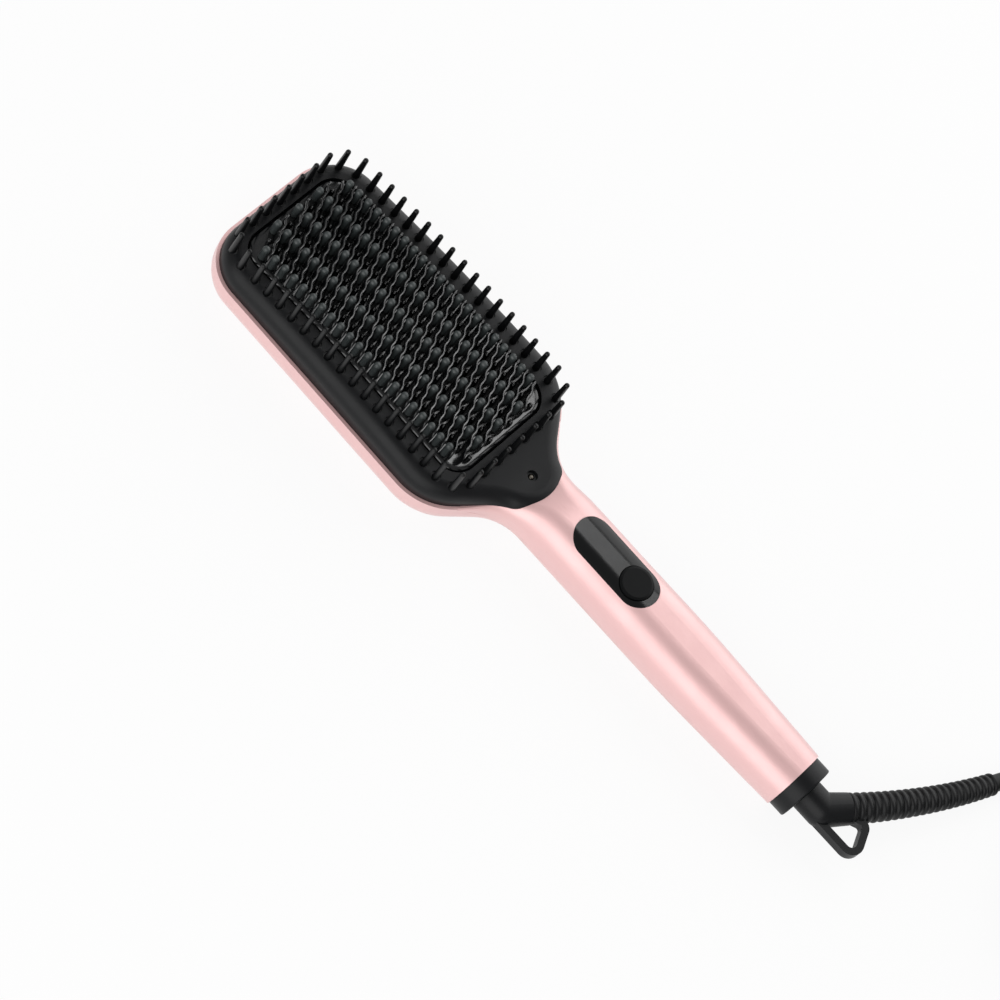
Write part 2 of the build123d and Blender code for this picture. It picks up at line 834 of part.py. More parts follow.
with BuildPart() as heating_elements:
    with BuildSketch(Plane.XY.offset(element_bottom)):
        with Locations((heater_x, -element_spacing / 2), (heater_x, element_spacing / 2)):
            Rectangle(element_length, element_width)
    extrude(amount=element_thickness)
    fillet(heating_elements.edges().filter_by(Axis.X), soft_edge)
save(heating_elements.part, "heating_elements")

with BuildPart() as mica_sheet:
    with BuildSketch(Plane.XY.offset(mica_bottom)):
        with Locations((heater_x, 0)):
            Rectangle(clamp_length, clamp_width)
        with Locations(*clamp_screw_spots):
            Circle(boss_diameter / 2 + screw_gap, mode=Mode.SUBTRACT)
    extrude(amount=mica_thickness)
save(mica_sheet.part, "mica_sheet")

with BuildPart() as heater_clamp:
    with BuildSketch(Plane.XY.offset(clamp_bottom)):
        with Locations((heater_x, 0)):
            RectangleRounded(clamp_length, clamp_width, clamp_slot_width)
        with Locations(*clamp_screw_spots):
            Circle(clamp_screw_diameter / 2 + screw_gap, mode=Mode.SUBTRACT)
        with Locations(*corners(heater_x, element_length / 4, element_spacing / 2)):
            SlotOverall(element_length / 4, clamp_slot_width, mode=Mode.SUBTRACT)
    extrude(amount=clamp_thickness)
save(heater_clamp.part, "heater_clamp")


def screw(diameter, length, head):
    """A pan-head screw that points up, with its seat at the origin."""
    head_diameter, head_height = head
    with BuildPart() as fastener:
        Cylinder(diameter / 2, length, align=upright)
        Cylinder(head_diameter / 2, head_height, align=hanging)
        chamfer(fastener.edges().group_by(Axis.Z)[0], head_height / 4)
        with BuildSketch(Plane.XY.offset(-head_height)):
            Rectangle(head_diameter * 0.6, head_height * 0.3)
            Rectangle(head_height * 0.3, head_diameter * 0.6)
        extrude(amount=head_height / 2, mode=Mode.SUBTRACT)
    return fastener.part


clamp_screw = screw(clamp_screw_diameter - screw_gap, clamp_screw_length - screw_gap, clamp_screw_head)
with BuildPart() as clamp_screws:
    with Locations(*at_height(clamp_screw_spots, clamp_bottom)):
        add(clamp_screw)
save(clamp_screws.part, "clamp_screws")

tray_bottom = heater_bottom - tray_height
ear_width = tray_boss_diameter + 2 * tray_ear_margin
tray_outer = heater_plan(heater_flange + tray_margin)
tray_inner = heater_plan(heater_flange + tray_margin - tray_wall)
with BuildPart() as heater_tray:
    with BuildSketch(Plane.XY.offset(tray_bottom)):
        add(tray_outer)
    extrude(amount=tray_height)
    with BuildSketch(Plane.XY.offset(tray_bottom)):
        with Locations((heater_x - tray_screw_x, 0), (heater_x + tray_screw_x, 0)):
            SlotOverall(2 * tray_screw_y + ear_width, ear_width, rotation=90)
    extrude(amount=tray_ear_thickness)
    with BuildSketch(Plane.XY.offset(tray_bottom)):
        add(tray_inner)
    extrude(amount=tray_height, mode=Mode.SUBTRACT)
    with BuildSketch(Plane.XY.offset(tray_bottom)):
        with Locations(*tray_screw_spots):
            Circle(tray_screw_diameter / 2 + screw_gap)
    extrude(amount=tray_height, mode=Mode.SUBTRACT)
save(heater_tray.part, "heater_tray")

tray_screw = screw(tray_screw_diameter - screw_gap, tray_screw_length, tray_screw_head)
with BuildPart() as tray_screws:
    with Locations(*at_height(tray_screw_spots, tray_bottom)):
        add(tray_screw)
save(tray_screws.part, "tray_screws")

with BuildPart() as thermal_fuse:
    with BuildSketch(across(fuse_x, clamp_bottom - fuse_diameter / 2)):
        Circle(fuse_diameter / 2)
    extrude(amount=fuse_length)
    chamfer(thermal_fuse.edges(), fine_edge)
    with BuildSketch(across(fuse_x - fuse_length / 2, clamp_bottom - fuse_diameter / 2)):
        Circle(fuse_lead_diameter / 2)
    extrude(amount=2 * fuse_length)
save(thermal_fuse.part, "thermal_fuse")

with BuildPart() as temperature_sensor:
    with BuildSketch(across(sensor_x, clamp_bottom - sensor_diameter / 2)):
        Circle(sensor_diameter / 2)
    extrude(amount=sensor_length)
    fillet(temperature_sensor.edges().group_by(Axis.X)[0], soft_edge)
    for y in (-sensor_lead_spacing / 2, sensor_lead_spacing / 2):
        with BuildSketch(across(sensor_x + sensor_length, clamp_bottom - sensor_diameter / 2, y)):
            Circle(sensor_lead_diameter / 2)
        extrude(amount=sensor_length)
save(temperature_sensor.part, "temperature_sensor")

with BuildPart() as heat_shield:
    with BuildSketch(Plane.XY.offset(shield_height)):
        RectangleRounded(shield_length, shield_width, shield_corner)
    extrude(amount=shield_thickness)
save(heat_shield.part, "heat_shield")

# ---------------------------------------------------------------- ion outlet
outlet_floor = rim_height + saddle_rise - ion_outlet_depth
with BuildPart() as ion_emitter:
    with BuildSketch(Plane.XY.offset(emitter_foot)):
        with Locations((ion_outlet_x, 0)):
            Circle(emitter_diameter / 2)
    extrude(amount=outlet_floor - plate_wall - emitter_foot)
    with BuildSketch(Plane.XY.offset(emitter_foot)):
        with Locations((ion_outlet_x, 0)):
            Circle(emitter_tip_diameter / 2)
    extrude(amount=outlet_floor + emitter_tip_proud - emitter_foot)
    fillet(ion_emitter.edges().group_by(Axis.Z)[-1], soft_edge)
save(ion_emitter.part, "ion_emitter")

with BuildPart() as ion_generator:
    with BuildSketch(Plane.XY.offset(generator_height)):
        with Locations((generator_x, 0)):
            Rectangle(generator_length, generator_width)
    extrude(amount=generator_depth)
    fillet(ion_generator.edges().filter_by(Axis.Z), soft_edge)
    fillet(ion_generator.edges().group_by(Axis.Z)[0], fine_edge)
save(ion_generator.part, "ion_generator")

# ---------------------------------------------------------------- controls
with BuildPart() as control_lens:
    with BuildSketch(Plane.XY.offset(lens_floor)):
        add(lens_plan)
    extrude(amount=lens_roof - lens_floor)
    add(grip_form(), mode=Mode.INTERSECT)
    add(under_lens, mode=Mode.SUBTRACT)
    with BuildSketch(Plane.XY.offset(lens_floor)):
        with Locations((button_x, 0)):
            Circle(button_diameter / 2 + button_gap)
    extrude(amount=lens_roof - lens_floor, mode=Mode.SUBTRACT)
save(control_lens.part, "control_lens")

button_top = handle_top(button_x) + button_proud
lug_top = handle_top(button_x + lug_length / 2) - lens_thickness - button_gap
switch_top = board_top + switch_height
with BuildPart() as power_button:
    with BuildSketch(Plane.XY.offset(lug_top - lug_thickness)):
        with Locations((button_x, 0)):
            Circle(button_diameter / 2)
    extrude(amount=button_top - lug_top + lug_thickness)
    chamfer(power_button.edges().group_by(Axis.Z)[-1], 0.3, 0.9)
    with BuildSketch(Plane.XY.offset(lug_top - lug_thickness)):
        with Locations((button_x, 0)):
            Rectangle(lug_length, lug_width)
    extrude(amount=lug_thickness)
save(power_button.part, "power_button")

plunger_top = lug_top - lug_thickness
with BuildPart() as switch_plunger:
    with BuildSketch(Plane.XY.offset(switch_top - plunger_proud)):
        with Locations((button_x, 0)):
            Circle(plunger_diameter / 2)
    extrude(amount=plunger_top - switch_top + plunger_proud)
save(switch_plunger.part, "switch_plunger")

with BuildPart() as control_board:
    with BuildSketch(Plane.XY.offset(board_top - board_thickness)):
        with Locations((board_middle, 0)):
            Rectangle(board_length, board_width)
        with Locations(*board_screw_spots):
            Circle(board_screw_diameter / 2 + screw_gap, mode=Mode.SUBTRACT)
    extrude(amount=board_thickness)
    with BuildSketch(Plane.XY.offset(board_top)):
        with Locations((board_middle + board_length / 4, 0)):
            Rectangle(chip_size, chip_size)
        with Locations((board_start_x + connector_width, 0)):
            Rectangle(connector_length, connector_width)
    extrude(amount=chip_height)
save(control_board.part, "control_board")

board_screw = screw(board_screw_diameter - screw_gap, board_screw_length - screw_gap, board_screw_head)
with BuildPart() as board_screws:
    with Locations(*at_height(board_screw_spots, board_top - board_thickness)):
        add(board_screw)
save(board_screws.part, "board_screws")

with BuildPart() as display_module:
    with BuildSketch(Plane.XY.offset(board_top)):
        with Locations((display_x, 0)):
            Rectangle(display_length, display_width)
    extrude(amount=display_height)
    chamfer(display_module.edges().group_by(Axis.Z)[-1], fine_edge)
save(display_module.part, "display_module")

with BuildPart() as tact_switch:
    with BuildSketch(Plane.XY.offset(board_top)):
        with Locations((button_x, 0)):
            Rectangle(switch_size, switch_size)
    extrude(amount=switch_height)
    well_floor = switch_top - plunger_proud - button_travel - switch_floor_gap
    with BuildSketch(Plane.XY.offset(well_floor)):
        with Locations((button_x, 0)):
            Circle(plunger_diameter / 2 + switch_floor_gap)
    extrude(amount=switch_height, mode=Mode.SUBTRACT)
save(tact_switch.part, "tact_switch")

power_board_top = power_board_height + board_thickness
terminal_x = power_board_x - power_board_length / 2 + 1.5 * rib_inset
with BuildPart() as power_board:
    with BuildSketch(Plane.XY.offset(power_board_height)):
        with Locations((power_board_x, 0)):
            Rectangle(power_board_length, power_board_width)
    extrude(amount=board_thickness)
    with BuildSketch(Plane.XY.offset(power_board_top)):
        with Locations((power_board_x + relay_height, 0)):
            Rectangle(relay_length, relay_width)
        with Locations((terminal_x, 0)):
            Rectangle(connector_length, connector_width)
    extrude(amount=relay_height)
save(power_board.part, "power_board")

with BuildPart() as film_capacitor:
    with BuildSketch(Plane.XY.offset(power_board_top)):
        with Locations((power_board_x - film_capacitor_length / 2, 0)):
            Rectangle(film_capacitor_length, film_capacitor_width)
    extrude(amount=film_capacitor_height)
    fillet(film_capacitor.edges().filter_by(Axis.Z), soft_edge)
save(film_capacitor.part, "film_capacitor")

with BuildPart() as smoothing_capacitor:
    with BuildSketch(Plane.XY.offset(power_board_top)):
        with Locations((power_board_x + power_board_length / 2 - capacitor_diameter, 0)):
            Circle(capacitor_diameter / 2)
    extrude(amount=capacitor_height)
    fillet(smoothing_capacitor.edges().group_by(Axis.Z)[-1], fine_edge)
save(smoothing_capacitor.part, "smoothing_capacitor")

# ---------------------------------------------------------------- swivel
collar_end_x = handle_end_x + collar_length
with BuildPart() as end_collar:
    with BuildSketch(across(handle_end_x)):
        Circle(collar_diameter / 2)
    extrude(amount=collar_length)
    fillet(end_collar.edges().group_by(Axis.X)[-1], fine_edge)
    with BuildSketch(across(handle_end_x - spigot_length)):
        Circle(spigot_diameter / 2)
    extrude(amount=spigot_length)
    with BuildSketch(across(handle_end_x - spigot_length - 1)):
        Circle(spindle_diameter / 2 + spindle_gap)
    extrude(amount=spigot_length + collar_length + 2, mode=Mode.SUBTRACT)
save(end_collar.part, "end_collar")

ring_places = [slip_ring_first_x + k * slip_ring_pitch for k in range(2)]
with BuildPart() as slip_rings:
    for x in ring_places:
        with BuildSketch(across(x)):
            Circle(slip_ring_diameter / 2)
            Circle(ring_seat_diameter / 2, mode=Mode.SUBTRACT)
        extrude(amount=slip_ring_width)
save(slip_rings.part, "slip_rings")

with BuildPart() as swivel_clip:
    with BuildSketch(across(clip_x)):
        Circle(clip_diameter / 2)
        Circle(clip_groove_diameter / 2, mode=Mode.SUBTRACT)
        with Locations((0, -clip_diameter / 2)):
            Rectangle(clip_groove_diameter / 2, clip_diameter, mode=Mode.SUBTRACT)
    extrude(amount=clip_width)
save(swivel_clip.part, "swivel_clip")

contact_top = axis_height - slip_ring_diameter / 2 - face_gap
contact_base_top = contact_base_height + contact_base_thickness
contact_length = ring_seat_x - spindle_end_x
with BuildPart() as contact_base:
    with BuildSketch(Plane.XY.offset(contact_base_height)):
        with Locations((spindle_end_x + contact_length / 2, 0)):
            Rectangle(contact_length, contact_base_width)
    extrude(amount=contact_base_thickness)
    with BuildSketch(Plane.XY.offset(shell_wall)):
        with Locations((spindle_end_x + contact_length / 2, 0)):
            Rectangle(contact_length - contact_post_width, contact_post_width)
    extrude(amount=contact_base_height - shell_wall)
save(contact_base.part, "contact_base")

leaf_rise = contact_top - contact_base_top
with BuildPart() as slip_contacts:
    for x in ring_places:
        with BuildSketch(across(x + (slip_ring_width - leaf_width) / 2, contact_base_top)):
            with BuildLine():
                Polyline(
                    (-leaf_foot, 0),
                    (-leaf_foot, leaf_thickness),
                    (-leaf_contact, leaf_rise),
                    (leaf_contact, leaf_rise),
                    (leaf_contact, leaf_rise - leaf_thickness),
                    (-leaf_contact, leaf_rise - leaf_thickness),
                    (leaf_contact - leaf_foot, 0),
                    close=True,
                )
            make_face()
        extrude(amount=leaf_width)
save(slip_contacts.part, "slip_contacts")


# ---------------------------------------------------------------- wires inside
lead_start = heater_x + element_length / 2
block_start = terminal_x - connector_length / 2
block_middle = power_board_top + relay_height / 2
with BuildPart() as heater_leads:
    for side in (-1, 1):
        add(
            wire_run(
                [
                    (lead_start, side * lead_side, lead_height),
                    (lead_start + lead_drop, side * lead_side, lead_low_height),
                    (block_start - 2 * lead_drop, side * lead_side, lead_low_height),
                    (block_start - lead_drop, side * lead_entry_y, block_middle),
                    (block_start, side * lead_entry_y, block_middle),
                ],
                lead_bend,
                lead_diameter,
            )
        )
save(heater_leads.part, "heater_leads")

generator_start = generator_x - generator_length / 2
generator_middle = generator_height + generator_depth / 2
emitter_side = ion_outlet_x + emitter_diameter / 2
ion_lead = wire_run(
    [
        (generator_start, 0, generator_middle),
        (generator_start - lead_drop, 0, generator_middle),
        (emitter_side + lead_drop, 0, emitter_foot + lead_diameter),
        (emitter_side, 0, emitter_foot + lead_diameter),
    ],
    lead_bend,
    lead_diameter,
)
save(ion_lead, "ion_lead")

board_end = power_board_x + power_board_length / 2
with BuildPart() as mains_leads:
    for side in (-1, 1):
        add(
            wire_run(
                [
                    (spindle_end_x, side * lead_entry_y, contact_base_height + lead_diameter / 2),
                    (board_end + lead_bend, side * lead_entry_y, contact_base_height + lead_diameter / 2),
                    (board_end + mains_lead_bend, side * lead_entry_y, power_board_top + lead_bend),
                    (board_end - lead_bend, side * lead_entry_y, power_board_top + lead_bend),
                    (board_end - lead_bend, side * lead_entry_y, power_board_top),
                ],
                mains_lead_bend,
                lead_diameter,
            )
        )
save(mains_leads.part, "mains_leads")

ribbon_x = terminal_x - connector_width
block_top = power_board_top + relay_height
ribbon_height = (board_top - board_thickness + block_top) / 2
with BuildPart() as board_ribbon:
    with BuildSketch(Plane.XZ.offset(-ribbon_width / 2)):
        with BuildLine():
            spine = FilletPolyline(
                (ribbon_x, board_top - board_thickness),
                (ribbon_x, ribbon_height),
                (terminal_x, ribbon_height),
                (terminal_x, block_top),
                radius=ribbon_bend,
            )
        trace(spine, ribbon_thickness)
    extrude(amount=ribbon_width)
save(board_ribbon.part, "board_ribbon")

# ---------------------------------------------------------------- elbow, strain relief and cord
arm = Plane(
    origin=(elbow_corner_x, 0, axis_height),
    x_dir=(0, 0, 1),
    z_dir=(cos(radians(elbow_angle)), sin(radians(elbow_angle)), 0),
)
neck_start_x = collar_end_x + face_gap
with BuildPart() as swivel_elbow:
    with BuildSketch(across(neck_start_x)):
        Circle(elbow_neck_diameter / 2)
    extrude(amount=elbow_corner_x - neck_start_x)
    with Locations((elbow_corner_x, 0, axis_height)):
        Sphere(elbow_neck_diameter / 2)
    with BuildSketch(arm):
        Circle(elbow_neck_diameter / 2)
    with BuildSketch(arm.offset(elbow_arm_length)):
        Circle(elbow_arm_diameter / 2)
    loft()
    with BuildSketch(Plane.XY.offset(axis_height - loop_depth / 2)) as loop_face:
        with BuildLine():
            Polyline(*loop_corners, close=True)
        make_face()
        for corner, radius in zip(loop_corners, loop_corner_radii):
            near = loop_face.vertices().sort_by_distance(corner)[0]
            fillet(near, radius)
        offset(amount=-loop_bar, mode=Mode.SUBTRACT)
    extrude(amount=loop_depth)
    with BuildSketch(across(ring_seat_x)):
        Circle(spindle_diameter / 2)
    extrude(amount=neck_start_x - ring_seat_x + 1)
    with BuildSketch(across(spindle_end_x)):
        Circle(ring_seat_diameter / 2)
    extrude(amount=ring_seat_x - spindle_end_x)
    with BuildSketch(across(clip_x)):
        Circle(spindle_diameter)
        Circle(clip_groove_diameter / 2, mode=Mode.SUBTRACT)
    extrude(amount=clip_width, mode=Mode.SUBTRACT)
save(swivel_elbow.part, "swivel_elbow")


def sleeve_station(s):
    """A plane square to the strain relief, s along it."""
    share = s / sleeve_length
    heading = radians(elbow_angle + sleeve_bend * share)
    chord = radians(elbow_angle + sleeve_bend * share / 2)
    start = arm.offset(elbow_arm_length).origin
    origin = (start.X + s * cos(chord), start.Y + s * sin(chord), start.Z - sleeve_drop * share**2)
    slope = -2 * sleeve_drop * share / sleeve_length
    return Plane(origin=origin, z_dir=(cos(heading), sin(heading), slope))


def sleeve_radius(s):
    """Radius over the ribs of the strain relief, s along it."""
    share = s / sleeve_length
    return ((1 - share) * sleeve_root_diameter + share * sleeve_mouth_diameter) / 2


with BuildPart() as strain_relief:
    for k in range(9):
        s = k * sleeve_length / 8
        with BuildSketch(sleeve_station(s)):
            Circle(sleeve_radius(s) - rib_depth)
    loft()
    for k in range(int(sleeve_length / rib_pitch)):
        s = k * rib_pitch
        with BuildSketch(sleeve_station(s)):
            Circle(sleeve_radius(s))
        extrude(amount=rib_width)
save(strain_relief.part, "strain_relief")


def cord_tube(points, name):
    """The cord's tube along straight runs joined by arcs as large as the runs allow."""
    runs = [hypot(*[b - a for a, b in zip(p, q)]) for p, q in zip(points, points[1:])]
    radii = []
    for k in range(1, len(points) - 1):
        ahead = Vector(*points[k + 1]) - Vector(*points[k])
        behind = Vector(*points[k]) - Vector(*points[k - 1])
        half_turn = radians(behind.get_angle(ahead)) / 2
        radii.append(cord_bend_share * min(runs[k - 1], runs[k]) / tan(half_turn))
    with BuildPart() as tube:
        with BuildLine() as path:
            FilletPolyline(*points, radius=radii)
        with BuildSketch(Plane(origin=path.line @ 0, z_dir=path.line % 0)):
            Circle(cord_diameter / 2)
        sweep(path=path.line)
    length = path.wires()[0].length
    drawn = pi * cord_diameter**2 / 4 * length
    print(name, "radii", [round(r, 1) for r in radii], "length", round(length, 1))
    print(name, "volume against section times length", round(tube.part.volume / drawn, 4))
    save(tube.part, name)


cord_radius = cord_diameter / 2
coil_x, coil_y = coil_centre
mouth = sleeve_station(sleeve_length).origin
lead_x, lead_y, lead_z = cord_lead_in
cord_tube(
    [
        (mouth.X, mouth.Y, mouth.Z),
        (mouth.X + lead_x, mouth.Y + lead_y, lead_z),
        *[(coil_x + x, coil_y + y, z) for x, y, z in cord_approach],
    ],
    "power_cord",
)

inner_turn = coil_outer_turn - coil_lower_turns * cord_diameter
upper_turn = inner_turn + coil_upper_turns * cord_diameter
coil_bore = inner_turn - cord_radius
coil_section = (
    (coil_bore, 0),
    (coil_outer_turn + cord_radius, 0),
    (coil_outer_turn + cord_radius, cord_diameter),
    (upper_turn + cord_radius, cord_diameter),
    (upper_turn + cord_radius, 2 * cord_diameter),
    (coil_bore, 2 * cord_diameter),
)
coil_axis = Axis((coil_x, coil_y, 0), (0, 0, 1))
with BuildPart() as cord_coil:
    with BuildSketch(Plane(origin=(coil_x, coil_y, 0), x_dir=(1, 0, 0), z_dir=(0, -1, 0))) as section:
        with BuildLine():
            Polyline(*coil_section, close=True)
        make_face()
        fillet(section.vertices(), coil_corner)
    revolve(axis=coil_axis)
save(cord_coil.part, "cord_coil")
lower_length = pi * coil_lower_turns * (coil_outer_turn + inner_turn)
upper_length = pi * coil_upper_turns * (inner_turn + upper_turn)
print("cord in the coil", round(lower_length + 2 * pi * inner_turn + upper_length))

tail_x = coil_x + upper_turn
tail_points = [(tail_x + x, coil_y + y, z) for x, y, z in tail_route]
cord_tube(tail_points, "cord_tail")

with BuildPart() as cord_tie:
    angle = radians(tie_angle)
    tie_plane = Plane(
        origin=(coil_x, coil_y, 0),
        x_dir=(cos(angle), sin(angle), 0),
        z_dir=(sin(angle), -cos(angle), 0),
    )
    with BuildSketch(tie_plane.offset(-tie_width / 2)) as section:
        with BuildLine():
            Polyline(*coil_section, close=True)
        make_face()
        offset(amount=tie_thickness, kind=Kind.INTERSECTION)
        with BuildLine():
            Polyline(*coil_section, close=True)
        make_face(mode=Mode.SUBTRACT)
        with Locations(((inner_turn + coil_outer_turn) / 2, -tie_thickness)):
            Rectangle(coil_outer_turn, 2 * tie_thickness, mode=Mode.SUBTRACT)
    extrude(amount=tie_width)
save(cord_tie.part, "cord_tie")

plug_plane = Plane(origin=tail_points[-1], x_dir=(1, 0, 0), z_dir=(0, -1, 0))
with BuildPart() as plug_body:
    with BuildSketch(plug_plane):
        Circle(plug_neck_diameter / 2)
    with BuildSketch(plug_plane.offset(plug_neck_length)):
        Circle(plug_neck_diameter / 2 + plug_neck_flare)
    loft()
    with BuildSketch(plug_plane.offset(plug_neck_length)):
        RectangleRounded(plug_width * plug_shoulder_share, plug_shoulder_thickness, plug_corner)
    with BuildSketch(plug_plane.offset(plug_length)):
        RectangleRounded(plug_width, plug_thickness, plug_corner)
    loft()
save(plug_body.part, "plug_body")

with BuildPart() as plug_pins:
    with BuildSketch(plug_plane.offset(plug_length)):
        with GridLocations(plug_pin_spacing, 1, 2, 1):
            Circle(plug_pin_diameter / 2)
    extrude(amount=plug_pin_length)
    fillet(plug_pins.edges().group_by(Axis.Y)[0], plug_pin_diameter * 0.4)
save(plug_pins.part, "plug_pins")
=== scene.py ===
from math import atan2, cos, pi, radians, sin, sqrt

import bmesh
import bpy
from mathutils import Matrix, Vector


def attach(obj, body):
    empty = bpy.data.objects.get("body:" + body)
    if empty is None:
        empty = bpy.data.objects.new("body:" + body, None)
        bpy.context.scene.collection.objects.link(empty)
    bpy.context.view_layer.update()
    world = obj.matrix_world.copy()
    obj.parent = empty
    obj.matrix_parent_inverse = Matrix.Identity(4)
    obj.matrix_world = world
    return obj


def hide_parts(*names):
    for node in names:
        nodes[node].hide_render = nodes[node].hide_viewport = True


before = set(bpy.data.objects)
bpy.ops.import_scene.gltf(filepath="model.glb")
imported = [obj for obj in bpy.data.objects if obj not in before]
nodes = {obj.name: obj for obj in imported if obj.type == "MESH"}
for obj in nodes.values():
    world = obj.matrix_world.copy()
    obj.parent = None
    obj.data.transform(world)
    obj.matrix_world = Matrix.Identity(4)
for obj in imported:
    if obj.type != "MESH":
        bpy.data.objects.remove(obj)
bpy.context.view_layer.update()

# Sizes are written in millimetres, as on the part's drawing, and go into the scene in metres.
MM = 0.001


# ---------------------------------------------------------------- camera
view_right = Vector((0.67735, 0.65964, 0.32569))
view_up = Vector((-0.73358, 0.57225, 0.36658))
view_back = view_right.cross(view_up).normalized()
look_at = Vector((67.59, -12.6, 15.64)) * MM
camera_distance = 1402.9 * MM

camera = bpy.data.objects.new("camera", bpy.data.cameras.new("camera"))
camera_axes = Matrix((view_right.normalized(), view_back.cross(view_right).normalized(), view_back))
camera_turn = camera_axes.transposed().to_4x4()
camera.matrix_world = Matrix.Translation(look_at + view_back * camera_distance) @ camera_turn
camera.data.sensor_width = 36
camera.data.lens = 143.7
camera.data.clip_start = 0.05
bpy.context.scene.collection.objects.link(camera)
bpy.context.scene.camera = camera


# ---------------------------------------------------------------- the lead
cord_diameter = 6.5
cord_radius = cord_diameter / 2
coil_x, coil_y = 329.5, 70.0
outer_turn, turns_in, turns_out = 49.0, 3.375, 3.0
inner_turn = outer_turn - turns_in * cord_diameter
tail_x = coil_x + inner_turn + turns_out * cord_diameter
coil_start = radians(135)
points_per_turn = 16
sleeve_mouth = Vector((260.534, 62.239, 5.2))
lead_in = Vector((5.5, 14.0, -1.45))  # from the sleeve's mouth
approach = (-44.55, 24.75, 3.3)  # from the middle of the coil
tail_route = ((0.0, -8.0, 9.95), (-1.0, -24.0, 10.1), (-6.0, -40.0, 7.3), (-8.0, -52.0, 6.85))


def coil_points():
    """The put-away turns: inwards on the floor, up over one turn, and outwards on top."""
    total = turns_in + 1 + turns_out
    swell = 1 / cos(pi / points_per_turn)
    points = []
    for k in range(1, int(total * points_per_turn)):
        turn_done = k / points_per_turn
        if turn_done < turns_in:
            radius = outer_turn - cord_diameter * turn_done
            height = cord_radius
        elif turn_done < turns_in + 1:
            radius = inner_turn
            height = cord_radius + cord_diameter * (turn_done - turns_in)
        else:
            radius = inner_turn + cord_diameter * (turn_done - turns_in - 1)
            height = 3 * cord_radius
        angle = coil_start - 2 * pi * turn_done
        reach = swell * radius
        points.append((coil_x + reach * cos(angle), coil_y + reach * sin(angle), height))
    return points


cord_route = [
    tuple(sleeve_mouth),
    tuple(sleeve_mouth + lead_in),
    (coil_x + approach[0], coil_y + approach[1], approach[2]),
    *coil_points(),
    *[(tail_x + x, coil_y + y, z) for x, y, z in tail_route],
]
lead_curve = bpy.data.curves.new("mains_lead", "CURVE")
lead_curve.dimensions = "3D"
lead_curve.bevel_depth = cord_radius
lead_curve.bevel_resolution = 5
lead_curve.resolution_u = 6
lead_curve.use_fill_caps = True
spline = lead_curve.splines.new("NURBS")
spline.points.add(len(cord_route) - 1)
for point, place in zip(spline.points, cord_route):
    point.co = (*(Vector(place) * MM), 1.0)
    # A curve's box grows by its points' radius, so that is small and the bevel makes up for it.
    point.radius = MM
spline.order_u = 3
spline.use_endpoint_u = True
mains_lead = bpy.data.objects.new("mains_lead", lead_curve)
bpy.context.scene.collection.objects.link(mains_lead)
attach(mains_lead, "lead")
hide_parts("power_cord", "cord_coil", "cord_tail")


# ---------------------------------------------------------------- material helpers
def linear(value):
    """An sRGB hex colour as the linear values that a shader takes."""
    channels = [int(value[k : k + 2], 16) / 255 for k in (1, 3, 5)]
    return (*[c / 12.92 if c <= 0.04045 else ((c + 0.055) / 1.055) ** 2.4 for c in channels], 1.0)


def add_node(tree, kind, inputs=None, **settings):
    """A shader node with its settings; an input is a value, or another node's output to link."""
    node = tree.nodes.new(kind)
    for name, value in settings.items():
        setattr(node, name, value)
    for name, value in (inputs or {}).items():
        socket = node.inputs[name]
        if isinstance(value, bpy.types.NodeSocket):
            tree.links.new(value, socket)
        else:
            socket.default_value = value
    return node


def new_material(name):
    """An empty material with the piece's own coordinates; its output comes with finish_material."""
    material = bpy.data.materials.new(name)
    material.use_nodes = True
    tree = material.node_tree
    tree.nodes.clear()
    place = add_node(tree, "ShaderNodeTexCoord").outputs["Object"]
    return material, tree, place


def finish_material(material, tree, shader):
    """Send the shader to the surface."""
    add_node(tree, "ShaderNodeOutputMaterial", {"Surface": shader.outputs[0]})
    return material


def moulded(
    name, colour, other, roughness, grain_mm, grain_depth, patch_mm=14.0, spread=0.05, **more
):
    """A moulded or coated surface: slow changes of tone and gloss, and a grain of a real size."""
    material, tree, place = new_material(name)
    patches = add_node(
        tree, "ShaderNodeTexNoise", {"Vector": place, "Scale": 1 / (patch_mm * MM), "Detail": 3.0}
    )
    tone = add_node(
        tree,
        "ShaderNodeMix",
        {"Factor": patches.outputs["Fac"], "A": linear(colour), "B": linear(other)},
        data_type="RGBA",
    )
    gloss = add_node(
        tree,
        "ShaderNodeMapRange",
        {
            "Value": patches.outputs["Fac"],
            "From Min": 0.3,
            "From Max": 0.7,
            "To Min": roughness - spread,
            "To Max": roughness + spread,
        },
    )
    grain = add_node(
        tree, "ShaderNodeTexNoise", {"Vector": place, "Scale": 1 / (grain_mm * MM), "Detail": 2.0}
    )
    relief = add_node(
        tree,
        "ShaderNodeBump",
        {"Height": grain.outputs["Fac"], "Distance": grain_depth * MM, "Strength": 0.6},
    )
    inputs = {
        "Base Color": tone.outputs["Result"],
        "Roughness": gloss.outputs["Result"],
        "Normal": relief.outputs["Normal"],
    }
    inputs.update(more)
    shader = add_node(tree, "ShaderNodeBsdfPrincipled", inputs)
    return finish_material(material, tree, shader)


# ---------------------------------------------------------------- materials
# Pearl lacquer over ABS: a soft metallic sheen from fine mica flakes under a satin clear coat.
rose_lacquer = moulded(
    "pearl_lacquered_abs", "#EDC3C1", "#EABDBC", 0.42, 0.25, 0.004,
    Metallic=0.42, **{"Coat Weight": 0.5, "Coat Roughness": 0.36, "Sheen Weight": 0.2, "IOR": 1.5},
)
# Satin ABS: spark-eroded tool surface, so a dark even face with a wide soft highlight.
satin_abs = moulded(
    "satin_black_abs", "#0B0C0E", "#0E0F11", 0.42, 0.3, 0.01, **{"Specular IOR Level": 0.25}
)
